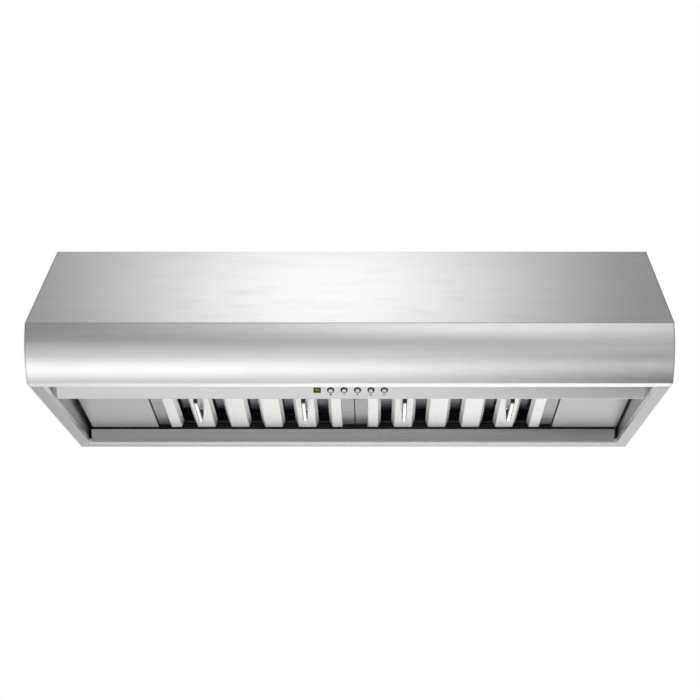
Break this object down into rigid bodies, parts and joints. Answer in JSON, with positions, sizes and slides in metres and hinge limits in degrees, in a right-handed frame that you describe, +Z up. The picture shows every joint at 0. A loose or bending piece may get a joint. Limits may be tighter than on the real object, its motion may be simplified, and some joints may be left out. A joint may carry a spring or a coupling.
{
  "type": "under cabinet range hood",
  "caption": "Stainless under-cabinet range hood with a sloped front, rounded nose, push-button strip, swing-down baffle filters, twin blowers and a round outlet with a butterfly damper.",
  "frame": {"origin": "centre of the footprint on the rim plane, the underside of the lips", "axes": "+Z up; the sloped front and buttons face -Y, the wall side faces +Y; +X to the right seen from the front"},
  "size_m": [0.908, 0.56, 0.28],
  "materials": {
    "canopy_steel": "brushed stainless, grain along the width",
    "liner_steel": "brushed stainless, duller",
    "strip_steel": "fine brushed stainless",
    "panel_steel": "fine brushed stainless",
    "baffle_steel": "bright satin stainless",
    "handle_chrome": "polished chrome",
    "galvanised_sheet": "zinc coated sheet",
    "damper_aluminium": "mill finish",
    "plated_steel": "bright zinc plate",
    "impeller_steel": "zinc coated",
    "motor_case": "satin black paint",
    "magnet": "dark ferrite",
    "black_plastic": "fine textured black",
    "button_cap": "silver grey",
    "capacitor_case": "moulded",
    "circuit_board": "green solder mask",
    "display_glass": "tinted window with a yellow green glow",
    "lamp_glass": "frosted"
  },
  "bodies": {
    "canopy": {"front_wrapper": "canopy_steel", "top_panel": "canopy_steel", "back_panel": "canopy_steel", "left_side_panel": "canopy_steel", "right_side_panel": "canopy_steel", "left_liner": "liner_steel", "right_liner": "liner_steel", "rear_strip": "strip_steel", "control_strip": "strip_steel", "button_guide": "black_plastic", "display_window": "display_glass", "display_module": "black_plastic", "control_board": "circuit_board", "front_rail": "galvanised_sheet", "rear_rail": "galvanised_sheet", "left_filter_catch": "magnet", "right_filter_catch": "magnet", "outlet_box": "galvanised_sheet", "duct_collar": "galvanised_sheet", "damper_pin": "plated_steel", "wiring_box": "galvanised_sheet", "wiring_box_cover": "galvanised_sheet", "cable_gland": "black_plastic", "capacitor": "capacitor_case", "capacitor_clip": "plated_steel", "power_board": "circuit_board", "left_filler_panel": "panel_steel", "left_lamp_housing": "galvanised_sheet", "left_lamp_bezel": "plated_steel", "left_lamp_lens": "lamp_glass", "left_blower_housing": "galvanised_sheet", "left_inlet_ring": "galvanised_sheet", "left_motor": "motor_case", "right_filler_panel": "panel_steel", "right_lamp_housing": "galvanised_sheet", "right_lamp_bezel": "plated_steel", "right_lamp_lens": "lamp_glass", "right_blower_housing": "galvanised_sheet", "right_inlet_ring": "galvanised_sheet", "right_motor": "motor_case"},
    "left_filter": {"left_filter_frame": "baffle_steel", "left_filter_upper_baffles": "baffle_steel", "left_filter_outer_handle": "handle_chrome", "left_filter_inner_handle": "handle_chrome"},
    "left_rotor": {"left_impeller": "impeller_steel", "left_motor_shaft": "plated_steel"},
    "right_filter": {"right_filter_frame": "baffle_steel", "right_filter_upper_baffles": "baffle_steel", "right_filter_outer_handle": "handle_chrome", "right_filter_inner_handle": "handle_chrome"},
    "right_rotor": {"right_impeller": "impeller_steel", "right_motor_shaft": "plated_steel"},
    "timer_push": {"timer_button": "button_cap"},
    "lamp_push": {"lamp_button": "button_cap"},
    "slower_push": {"slower_button": "button_cap"},
    "faster_push": {"faster_button": "button_cap"},
    "power_push": {"power_button": "button_cap"},
    "front_flap": {"front_damper_flap": "damper_aluminium"},
    "rear_flap": {"rear_damper_flap": "damper_aluminium"}
  },
  "joints": [
    {"name": "left_filter_swing", "type": "hinge", "parent": "canopy", "child": "left_filter", "pos_m": [-0.1575, 0.22271, 0.02343], "axis": [1, 0, 0], "range_deg": [0, 75]},
    {"name": "right_filter_swing", "type": "hinge", "parent": "canopy", "child": "right_filter", "pos_m": [0.1645, 0.22271, 0.02343], "axis": [1, 0, 0], "range_deg": [0, 75]},
    {"name": "timer_press", "type": "slide", "parent": "canopy", "child": "timer_push", "axis": [0, 0.6428, 0.766], "range_m": [0, 0.0015], "stiffness_N_per_m": 400},
    {"name": "lamp_press", "type": "slide", "parent": "canopy", "child": "lamp_push", "axis": [0, 0.6428, 0.766], "range_m": [0, 0.0015], "stiffness_N_per_m": 400},
    {"name": "slower_press", "type": "slide", "parent": "canopy", "child": "slower_push", "axis": [0, 0.6428, 0.766], "range_m": [0, 0.0015], "stiffness_N_per_m": 400},
    {"name": "faster_press", "type": "slide", "parent": "canopy", "child": "faster_push", "axis": [0, 0.6428, 0.766], "range_m": [0, 0.0015], "stiffness_N_per_m": 400},
    {"name": "power_press", "type": "slide", "parent": "canopy", "child": "power_push", "axis": [0, 0.6428, 0.766], "range_m": [0, 0.0015], "stiffness_N_per_m": 400},
    {"name": "left_rotor_spin", "type": "hinge", "parent": "canopy", "child": "left_rotor", "pos_m": [-0.218, 0.112, 0.156], "axis": [0, 0, 1], "continuous": true},
    {"name": "right_rotor_spin", "type": "hinge", "parent": "canopy", "child": "right_rotor", "pos_m": [0.218, 0.112, 0.156], "axis": [0, 0, 1], "continuous": true},
    {"name": "front_flap_swing", "type": "hinge", "parent": "canopy", "child": "front_flap", "pos_m": [0, 0.167, 0.2645], "axis": [-1, 0, 0], "range_deg": [0, 80]},
    {"name": "rear_flap_swing", "type": "hinge", "parent": "canopy", "child": "rear_flap", "pos_m": [0, 0.173, 0.2645], "axis": [1, 0, 0], "range_deg": [0, 80]}
  ]
}
